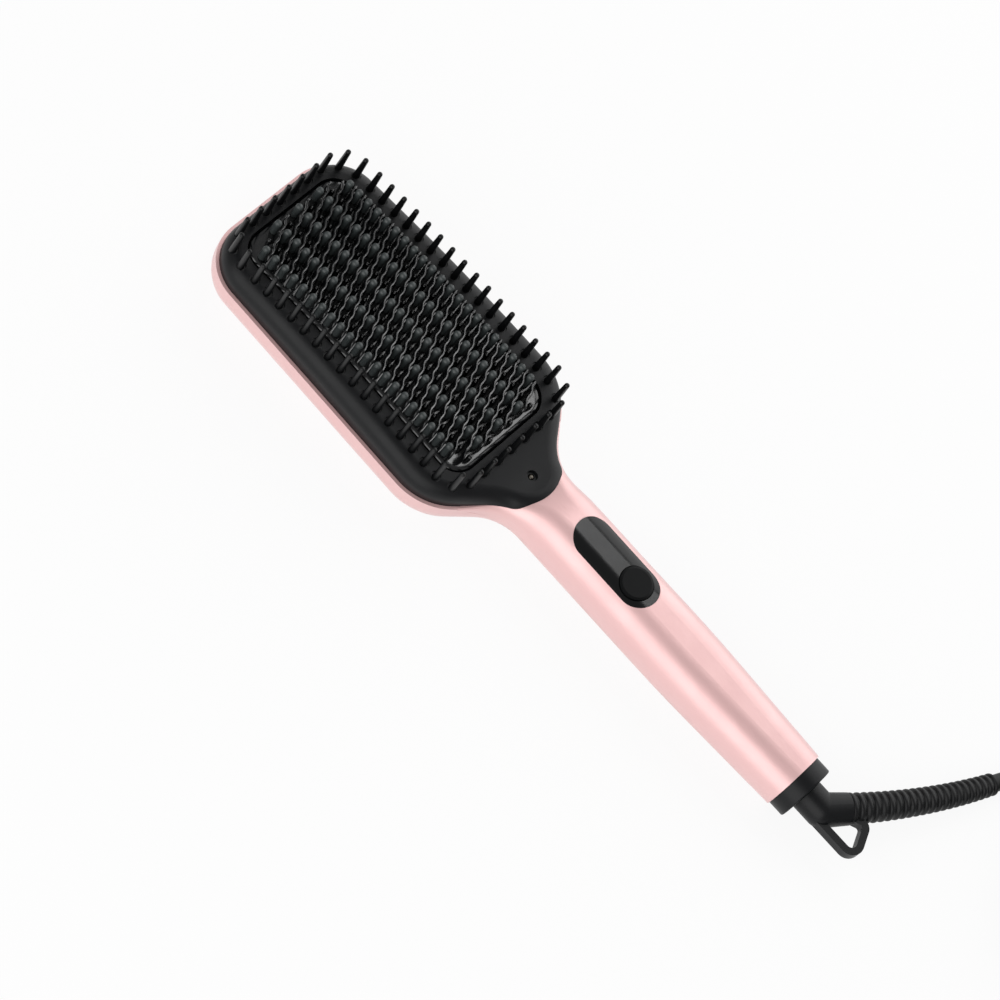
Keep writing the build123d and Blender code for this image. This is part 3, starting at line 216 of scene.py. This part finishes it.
# Nylon 66: slightly waxy black, moulded smooth.
nylon = moulded(
    "moulded_nylon", "#090A0B", "#0C0D0E", 0.36, 0.3, 0.01, **{"Specular IOR Level": 0.3}
)
# Ceramic coat on die-cast aluminium: deep gloss black.
ceramic_coat = moulded("glossy_ceramic_coat", "#0A0B0C", "#0D0E10", 0.17, 0.5, 0.006, IOR=1.65)
# Glass-filled nylon: grey, semi-matt tips.
tip_nylon = moulded("grey_tip_nylon", "#363B3B", "#3D4242", 0.4, 0.3, 0.01, IOR=1.53)
# PMMA window, polished black.
window = moulded(
    "polished_pmma", "#060708", "#08090A", 0.2, 0.8, 0.002, spread=0.02,
    **{"Specular IOR Level": 0.35},
)
# ABS button, fine satin.
button_abs = moulded(
    "satin_button_abs", "#08090A", "#0B0C0D", 0.4, 0.25, 0.008, **{"Specular IOR Level": 0.12}
)
# Soft PVC: matt black with a faint skin texture.
soft_pvc = moulded(
    "soft_pvc", "#0B0C0D", "#0E0F10", 0.46, 0.45, 0.02, **{"Specular IOR Level": 0.3}
)
# Nickel-plated brass.
nickel = moulded("nickel_plate", "#C9C7C2", "#BDBBB6", 0.22, 0.2, 0.003, Metallic=1.0)
# Zinc-plated or plain spring steel.
steel = moulded("plain_steel", "#A9A9A8", "#9B9B9C", 0.34, 0.2, 0.004, Metallic=1.0)
# Brass, drawn.
brass = moulded("drawn_brass", "#C9A765", "#BC9A58", 0.3, 0.2, 0.004, Metallic=1.0)
# Brass of the ion outlet's needle, blackened so that it barely glints.
blackened_brass = moulded("blackened_brass", "#6A655E", "#5A564F", 0.35, 0.2, 0.004, Metallic=1.0)
# Alumina, fired white.
alumina = moulded("fired_alumina", "#E9E6DC", "#DFDCD2", 0.6, 0.25, 0.01)
# Mica sheet, pressed from flakes.
mica = moulded("pressed_mica", "#A89468", "#8E7C56", 0.38, 0.6, 0.02, patch_mm=5.0)
# Glass-filled heat-resistant resin.
resin = moulded("heat_resin", "#2A2724", "#322E2A", 0.55, 0.3, 0.015)
# Glass-fibre laminate under green solder mask.
laminate = moulded("solder_mask", "#1B5A33", "#17502C", 0.32, 0.4, 0.01, patch_mm=4.0)
# Dipped film capacitor, dark red epoxy.
epoxy = moulded("dipped_epoxy", "#8C2A1C", "#7C2318", 0.25, 0.5, 0.01)
# Sleeved aluminium can.
sleeve_film = moulded("shrink_film", "#2C3346", "#262C3E", 0.3, 0.5, 0.006)
# Silicone wire insulation.
silicone = moulded("silicone_insulation", "#C2BBB0", "#B6AFA4", 0.5, 0.3, 0.01)
# Glass bead of the thermistor.
bead = moulded("amber_glass", "#B9793A", "#A86B30", 0.12, 0.5, 0.002)
# Grey flat cable.
flat_cable = moulded("flat_cable_pvc", "#8E9092", "#85878A", 0.45, 0.3, 0.01)
# Woven strap of the coil.
strap = moulded("strap_nylon", "#1C1C1E", "#242426", 0.7, 0.5, 0.06, patch_mm=3.0)

finishes = {
    "rear_housing": rose_lacquer,
    "handle_cover": rose_lacquer,
    "face_plate": satin_abs,
    "outer_pins": nylon,
    "pin_carrier": nylon,
    "heater_plate": ceramic_coat,
    "cool_tips": tip_nylon,
    "heating_elements": alumina,
    "mica_sheet": mica,
    "heater_clamp": steel,
    "clamp_screws": steel,
    "heater_tray": resin,
    "tray_screws": steel,
    "thermal_fuse": steel,
    "temperature_sensor": bead,
    "heat_shield": mica,
    "ion_emitter": blackened_brass,
    "ion_generator": resin,
    "control_lens": window,
    "power_button": button_abs,
    "switch_plunger": button_abs,
    "control_board": laminate,
    "board_screws": steel,
    "display_module": window,
    "tact_switch": resin,
    "power_board": laminate,
    "film_capacitor": epoxy,
    "smoothing_capacitor": sleeve_film,
    "end_collar": satin_abs,
    "slip_rings": brass,
    "swivel_clip": steel,
    "contact_base": resin,
    "slip_contacts": brass,
    "heater_leads": silicone,
    "ion_lead": silicone,
    "mains_leads": silicone,
    "board_ribbon": flat_cable,
    "swivel_elbow": satin_abs,
    "strain_relief": soft_pvc,
    "power_cord": soft_pvc,
    "cord_coil": soft_pvc,
    "cord_tail": soft_pvc,
    "cord_tie": strap,
    "plug_body": soft_pvc,
    "plug_pins": nickel,
}
for name, material in finishes.items():
    slots = nodes[name].data.materials
    slots.clear()
    slots.append(material)
lead_curve.materials.append(soft_pvc)


# ---------------------------------------------------------------- the hot plate
rim_z, deck_rise, deck_radius = 15.5, 10.8, 625.0
heater_x, half_length, half_width, corner = -3.0, 56.0, 25.3, 9.0
lattice_x, fin_pitch, row_pitch = -1.7, 4.7, 10.75
fin_width, fin_height, stud_radius, stud_height = 1.2, 6.4, 0.95, 3.6
end_margin, side_margin, lip_round = 2.8, 1.6, 1.7
plate_floor, root_depth = 20.9, 1.0
fins_each_way, fin_steps, stud_rows = 12, 5, 2  # counted from the middle of the plate
fewest_points = 8  # a shorter piece of a fin is left out
bend_thinning = 0.18  # a fin is this much thinner where it slants most
end_falls, end_widths = (1.5, 0.45, 0.1), (0.35, 0.8, 0.97)  # rounding of a fin's end, by point


def deck(x):
    """Height of the arched deck."""
    return rim_z + deck_rise - deck_radius + sqrt(deck_radius**2 - x**2)


def depth_inside(x, y, end=0.0, side=0.0):
    """How far a point lies inside the plate's rounded outline, or inside one that is drawn in."""
    radius = corner - side
    dx = abs(x - heater_x) - (half_length - end - radius)
    dy = abs(y) - (half_width - side - radius)
    if dx > 0 and dy > 0:
        return radius - sqrt(dx * dx + dy * dy)
    return radius - max(dx, dy)


def finished(mesh, name, material, body, sharp=35):
    """A bmesh as an object of the scene, smooth but for its sharp edges, that moves with a body."""
    bmesh.ops.recalc_face_normals(mesh, faces=mesh.faces[:])
    for face in mesh.faces:
        face.smooth = True
    for edge in mesh.edges:
        if len(edge.link_faces) == 2 and edge.calc_face_angle() > radians(sharp):
            edge.smooth = False
    for vert in mesh.verts:
        vert.co *= MM
    data = bpy.data.meshes.new(name)
    mesh.to_mesh(data)
    mesh.free()
    data.materials.append(material)
    piece = bpy.data.objects.new(name, data)
    bpy.context.scene.collection.objects.link(piece)
    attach(piece, body)
    return piece


def plate_body(mesh):
    """The cast plate: an arched top with rounded edges, on straight walls."""
    grid = bmesh.ops.create_grid(mesh, x_segments=96, y_segments=40, size=1.0)
    for vert in grid["verts"]:
        u, v = sin(pi / 2 * vert.co.x), sin(pi / 2 * vert.co.y)
        x = heater_x + half_length * u
        beyond = max(0.0, abs(x - heater_x) - (half_length - corner))
        reach = half_width - corner + sqrt(max(0.0, corner**2 - beyond**2))
        y = v * reach
        depth = max(0.0, min(depth_inside(x, y), lip_round))
        fall = lip_round - sqrt(lip_round**2 - (lip_round - depth) ** 2)
        vert.co = (x, y, deck(x) - fall)
    rim = [edge for edge in mesh.edges if edge.is_boundary]
    walls = bmesh.ops.extrude_edge_only(mesh, edges=rim)["geom"]
    lower = [item for item in walls if isinstance(item, bmesh.types.BMVert)]
    for vert in lower:
        vert.co.z = plate_floor
    bmesh.ops.contextual_create(
        mesh, geom=[item for item in walls if isinstance(item, bmesh.types.BMEdge)]
    )


def fin_line():
    """Points along one fin from the middle of the plate: a step sideways between two rows."""
    lean = atan2(fin_pitch, row_pitch)
    radius = sqrt(fin_pitch**2 + row_pitch**2) / 8 / sin(lean)
    quarter = [
        (-radius * (1 - cos(2 * lean * t)), radius * sin(2 * lean * t), 2 * lean * t)
        for t in (0, 0.25, 0.5, 0.75, 1.0)
    ]
    step_x, step_y = -fin_pitch / 2, row_pitch / 2
    half = quarter + [(step_x - x, step_y - y, turn) for x, y, turn in reversed(quarter[:-1])]
    return [
        (x + k * step_x, y + k * step_y, turn)
        for k in range(-fin_steps, fin_steps)
        for x, y, turn in half[:-1]
    ]


# Across a fin: share of its half width, and how far below its crest.
flank = ((1, None), (1, 0.75), (0.86, 0.3), (0.5, 0.06))
fin_profile = (*[(-share, drop) for share, drop in flank], (0, 0), *reversed(flank))


def fin(mesh, x0, line):
    """One fin with a rounded crest and rounded ends, where it lies on the plate."""
    run = [
        (x0 + x, y, turn) for x, y, turn in line
        if depth_inside(x0 + x, y, end_margin, side_margin) > 0.0
    ]
    if len(run) < fewest_points:
        return
    rows = []
    for place, (x, y, turn) in enumerate(run):
        to_end = min(place, len(run) - 1 - place)
        at_end = to_end < len(end_falls)
        fall = end_falls[to_end] if at_end else 0.0
        slim = end_widths[to_end] if at_end else 1.0
        half = fin_width / 2 * slim * (1 - bend_thinning * sin(turn))
        row = []
        for share, drop in fin_profile:
            px = x + share * half * cos(turn)
            py = y + share * half * sin(turn)
            pz = plate_floor + root_depth if drop is None else deck(px) + fin_height - drop - fall
            row.append(mesh.verts.new((px, py, pz)))
        rows.append(row)
    for low, high in zip(rows, rows[1:]):
        for k in range(len(fin_profile) - 1):
            mesh.faces.new((low[k], low[k + 1], high[k + 1], high[k]))
    for row in (rows[0], rows[-1]):
        mesh.faces.new(row)
    mesh.faces.new([row[0] for row in rows] + [row[-1] for row in reversed(rows)])


hot_plate = bmesh.new()
plate_body(hot_plate)
middle_line = fin_line()
for i in range(-fins_each_way, fins_each_way + 1):
    fin(hot_plate, lattice_x + i * fin_pitch, middle_line)
for i in range(-fins_each_way - 1, fins_each_way + 1):
    for j in range(-stud_rows, stud_rows):
        x, y = lattice_x + i * fin_pitch, (j + 0.5) * row_pitch
        if depth_inside(x, y) > end_margin:
            top = deck(x) + stud_height - stud_radius
            foot = plate_floor + root_depth
            place = Matrix.Translation((x, y, (top + foot) / 2))
            bmesh.ops.create_cone(
                hot_plate, segments=20, radius1=stud_radius, radius2=stud_radius,
                depth=top - foot, cap_ends=True, matrix=place,
            )
            bmesh.ops.create_uvsphere(
                hot_plate, u_segments=20, v_segments=10, radius=stud_radius,
                matrix=Matrix.Translation((x, y, top)),
            )
hot_plate = finished(hot_plate, "hot_plate", ceramic_coat, "brush")
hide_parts("heater_plate")


# ---------------------------------------------------------------- strain relief with rounded ribs
arm_start = Vector((224.1, 0, 11.5))
arm_angle, arm_length = radians(53), 10.2
sleeve_length, sleeve_bend, sleeve_drop = 62.0, radians(15.5), 6.3
root_radius, mouth_radius = 5.85, 4.2
rib_pitch, rib_width, rib_depth = 2.9, 2.0, 0.75
sleeve_rings, sleeve_sides = 330, 40


def sleeve_radius(s):
    """Radius of the sleeve, with a round bead for each rib."""
    share = s / sleeve_length
    place = (s % rib_pitch) / rib_width
    bead = sqrt(max(0.0, 1 - (2 * place - 1) ** 2)) if place < 1 else 0.0
    return (1 - share) * root_radius + share * mouth_radius - rib_depth * (1 - bead)


sleeve = bmesh.new()
outline = [sleeve.verts.new((0, 0, 0))]
for k in range(sleeve_rings + 1):
    s = sleeve_length * k / sleeve_rings
    outline.append(sleeve.verts.new((sleeve_radius(s), 0, s)))
outline.append(sleeve.verts.new((0, 0, sleeve_length)))
edges = [sleeve.edges.new(pair) for pair in zip(outline, outline[1:])]
bmesh.ops.spin(
    sleeve, geom=outline + edges, cent=(0, 0, 0), axis=(0, 0, 1), angle=2 * pi, steps=sleeve_sides,
    use_merge=True,
)
bmesh.ops.remove_doubles(sleeve, verts=sleeve.verts[:], dist=0.0005)
for vert in sleeve.verts:
    side, rise, s = vert.co
    share = s / sleeve_length
    heading = arm_angle + sleeve_bend * share
    chord = arm_angle + sleeve_bend * share / 2
    start = arm_start + arm_length * Vector((cos(arm_angle), sin(arm_angle), 0))
    middle_point = start + Vector((s * cos(chord), s * sin(chord), -sleeve_drop * share**2))
    slope = -2 * sleeve_drop * share / sleeve_length
    along = Vector((cos(heading), sin(heading), slope)).normalized()
    across = along.cross(Vector((0, 0, 1))).normalized()
    vert.co = middle_point + side * across + rise * across.cross(along)
ribbed_sleeve = finished(sleeve, "ribbed_sleeve", soft_pvc, "lead", sharp=60)
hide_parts("strain_relief")


# ---------------------------------------------------------------- floor and light
backdrop_share = 0.9  # how much of the floor is plain white to the camera, the rest takes shadows
sky_light = 0.3  # the sky as a lamp, which the camera sees as plain white


def backdrop_shader(tree, surface):
    """Show as white to the camera and in reflections, while light bounces off the plain colour."""
    rays = add_node(tree, "ShaderNodeLightPath")
    seen = add_node(
        tree,
        "ShaderNodeMath",
        {0: rays.outputs["Is Camera Ray"], 1: rays.outputs["Is Glossy Ray"]},
        operation="MAXIMUM",
    )
    seen = add_node(
        tree,
        "ShaderNodeMath",
        {0: seen.outputs[0], 1: rays.outputs["Is Transmission Ray"]},
        operation="MAXIMUM",
    )
    share = add_node(
        tree, "ShaderNodeMath", {0: seen.outputs[0], 1: backdrop_share}, operation="MULTIPLY"
    )
    white = add_node(tree, "ShaderNodeEmission", {"Color": (1, 1, 1, 1), "Strength": 1.0})
    return add_node(
        tree,
        "ShaderNodeMixShader",
        {0: share.outputs[0], 1: surface.outputs[0], 2: white.outputs[0]},
    )


sheet = bmesh.new()
bmesh.ops.create_grid(sheet, x_segments=2, y_segments=2, size=4.0)
floor_mesh = bpy.data.meshes.new("floor")
sheet.to_mesh(floor_mesh)
sheet.free()
floor = bpy.data.objects.new("floor", floor_mesh)
bpy.context.scene.collection.objects.link(floor)
floor_paper, tree, _ = new_material("seamless_paper")
paper = add_node(tree, "ShaderNodeBsdfDiffuse", {"Color": linear("#F0F0F0")})
finish_material(floor_paper, tree, backdrop_shader(tree, paper))
floor_mesh.materials.append(floor_paper)

world = bpy.data.worlds.new("studio")
bpy.context.scene.world = world
world.use_nodes = True
world.node_tree.nodes.clear()
rays = add_node(world.node_tree, "ShaderNodeLightPath")
level = add_node(
    world.node_tree,
    "ShaderNodeMapRange",
    {"Value": rays.outputs["Is Camera Ray"], "To Min": sky_light, "To Max": 1.0},
)
sky = add_node(
    world.node_tree,
    "ShaderNodeBackground",
    {"Color": (1, 1, 1, 1), "Strength": level.outputs["Result"]},
)
add_node(world.node_tree, "ShaderNodeOutputWorld", {"Surface": sky.outputs[0]})


def softbox(name, offset, width, height, watts):
    """A soft rectangular lamp, at an offset from the camera's target and facing it."""
    place = look_at + offset
    lamp = bpy.data.lights.new(name, "AREA")
    lamp.shape = "RECTANGLE"
    lamp.size = width
    lamp.size_y = height
    lamp.energy = watts
    holder = bpy.data.objects.new(name, lamp)
    holder.location = place
    holder.rotation_euler = (look_at - place).to_track_quat("-Z", "Y").to_euler()
    bpy.context.scene.collection.objects.link(holder)


softbox("left_box", Vector((-0.1, -1.05, 0.62)), width=2.0, height=1.3, watts=15.5)
softbox("right_box", Vector((0.1, 1.05, 0.5)), width=2.0, height=1.1, watts=12)
softbox("top_box", Vector((-0.06, 0.58, 1.04)), width=0.6, height=0.12, watts=1.2)

bpy.context.scene.view_settings.view_transform = "Standard"
